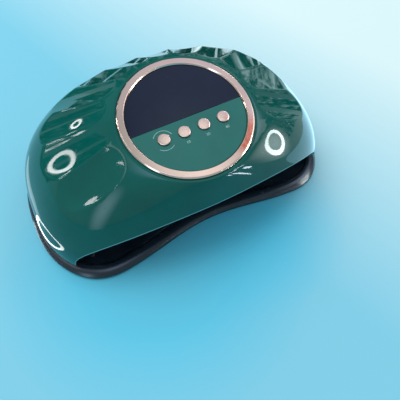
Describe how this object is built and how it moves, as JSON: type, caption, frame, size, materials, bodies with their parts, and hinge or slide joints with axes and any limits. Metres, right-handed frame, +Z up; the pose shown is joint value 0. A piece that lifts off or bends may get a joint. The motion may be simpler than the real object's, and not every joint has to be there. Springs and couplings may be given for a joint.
{
  "type": "nail lamp",
  "caption": "Table-top nail lamp: faceted glossy dome with an arched hand opening, round tilted control island with display window and push buttons, on a magnetic lobed tray.",
  "frame": {"origin": "on the table, under the middle of the lamp's bounding box", "axes": "+Z up, the hand opening faces -Y, +X to the right of someone who faces that opening"},
  "size_m": [0.27, 0.1898, 0.1086],
  "materials": {
    "tray_black": "high gloss",
    "foot_rubber": "matt",
    "magnet_nickel": "nickel plated",
    "screw_steel": "zinc plated",
    "shell_green": "high gloss, metallic emerald",
    "rose_chrome": "rose-gold plated, polished",
    "window_smoke": "smoked, polished",
    "panel_green": "gloss",
    "board_green": "solder mask",
    "module_black": "matt",
    "digit_red": "unlit, diffuse",
    "liner_silver": "vacuum metallised",
    "sensor_black": "gloss",
    "socket_black": "matt",
    "contact_brass": "plated",
    "lead_black": "matt",
    "plunger_white": "matt",
    "board_white": "white solder mask",
    "bead_clear": "clear resin"
  },
  "bodies": {
    "base": {"base_tray": "tray_black", "rubber_feet": "foot_rubber", "tray_magnets": "magnet_nickel"},
    "head": {"bezel_ring": "rose_chrome", "board_screws": "screw_steel", "bottom_frame": "tray_black", "control_board": "board_green", "control_panel": "panel_green", "dc_socket": "socket_black", "dc_socket_nut": "magnet_nickel", "dc_socket_pin": "contact_brass", "display_digits": "digit_red", "display_module": "module_black", "display_window": "window_smoke", "frame_magnets": "magnet_nickel", "frame_screws": "screw_steel", "led_beads_left": "bead_clear", "led_beads_rear": "bead_clear", "led_beads_right": "bead_clear", "led_beads_top": "bead_clear", "led_board_left": "board_white", "led_board_rear": "board_white", "led_board_right": "board_white", "led_board_top": "board_white", "motion_sensors": "sensor_black", "power_lead": "lead_black", "reflector_liner": "liner_silver", "tact_switches": "module_black", "top_shell": "shell_green"},
    "button_1": {"button_cap_1": "rose_chrome", "switch_plunger_1": "plunger_white"},
    "button_2": {"button_cap_2": "rose_chrome", "switch_plunger_2": "plunger_white"},
    "button_3": {"button_cap_3": "rose_chrome", "switch_plunger_3": "plunger_white"},
    "button_4": {"button_cap_4": "rose_chrome", "switch_plunger_4": "plunger_white"}
  },
  "joints": [
    {"name": "head_lift", "type": "slide", "parent": "base", "child": "head", "axis": [0, 0, 1], "range_m": [0, 0.12]},
    {"name": "button_1_press", "type": "slide", "parent": "head", "child": "button_1", "axis": [0, 0.2639, -0.9646], "range_m": [0, 0.0005], "stiffness_N_per_m": 400, "springref_m": -0.001},
    {"name": "button_2_press", "type": "slide", "parent": "head", "child": "button_2", "axis": [0, 0.2639, -0.9646], "range_m": [0, 0.0005], "stiffness_N_per_m": 400, "springref_m": -0.001},
    {"name": "button_3_press", "type": "slide", "parent": "head", "child": "button_3", "axis": [0, 0.2639, -0.9646], "range_m": [0, 0.0005], "stiffness_N_per_m": 400, "springref_m": -0.001},
    {"name": "button_4_press", "type": "slide", "parent": "head", "child": "button_4", "axis": [0, 0.2639, -0.9646], "range_m": [0, 0.0005], "stiffness_N_per_m": 400, "springref_m": -0.001}
  ]
}
